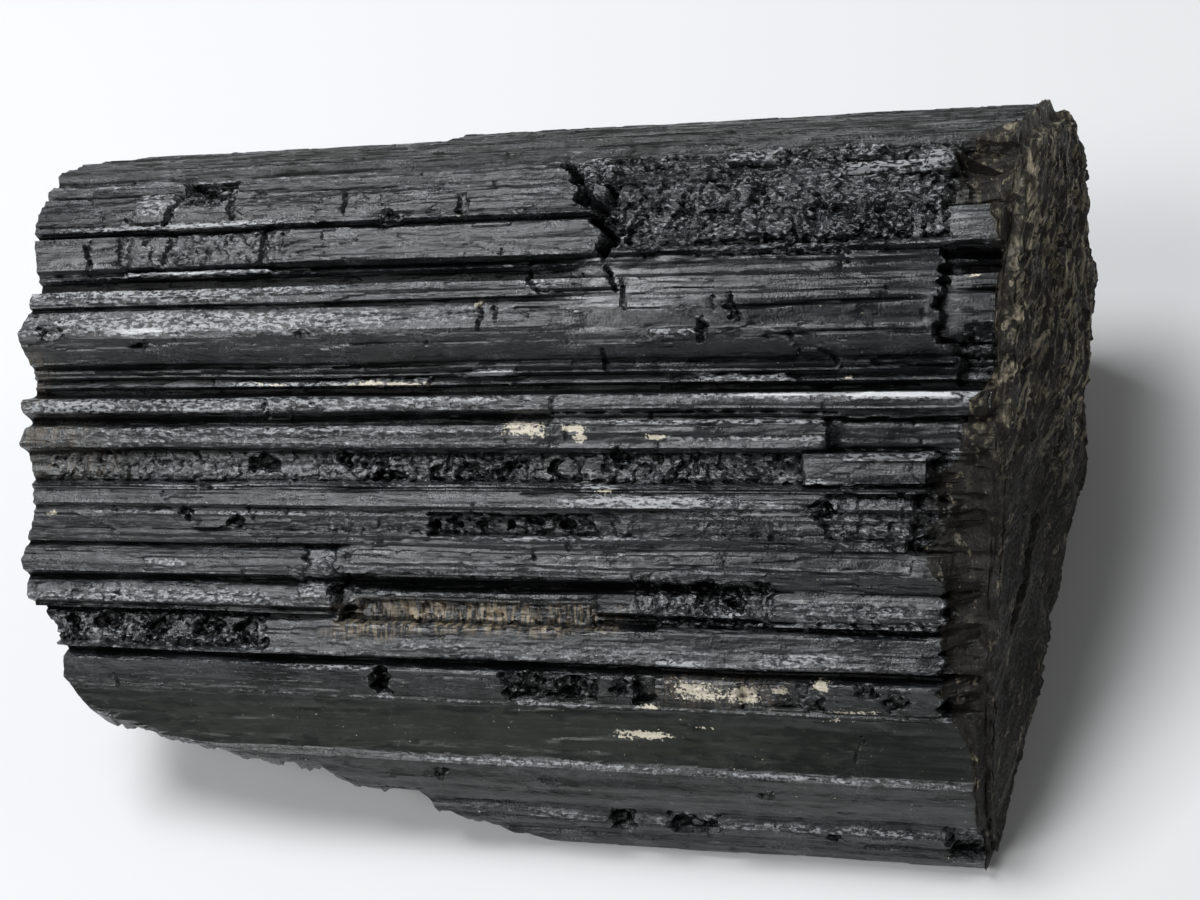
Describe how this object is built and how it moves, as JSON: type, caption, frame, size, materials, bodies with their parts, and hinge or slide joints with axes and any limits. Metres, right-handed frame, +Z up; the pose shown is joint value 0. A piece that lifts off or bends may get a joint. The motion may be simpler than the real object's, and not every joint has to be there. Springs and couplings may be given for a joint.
{
  "type": "tourmaline crystal",
  "caption": "Stout black tourmaline prism lying on one face, deeply fluted along its length, with broken ends and a crust of mica schist on one of them.",
  "frame": {"origin": "middle of the underside of the bounding box, on the flat face that the crystal rests on", "axes": "+X along the prism towards the end with the crust, +Y to the back, +Z up from the resting face"},
  "size_m": [0.1052, 0.068, 0.0437],
  "materials": {
    "tourmaline": "glassy black, finely striated, with dull pitted patches",
    "mica_schist": "rough, foliated, olive brown with silvery flecks"
  },
  "bodies": {
    "root": {"tourmaline_crystal": "tourmaline", "mica_schist_crust": "mica_schist"}
  },
  "joints": []
}
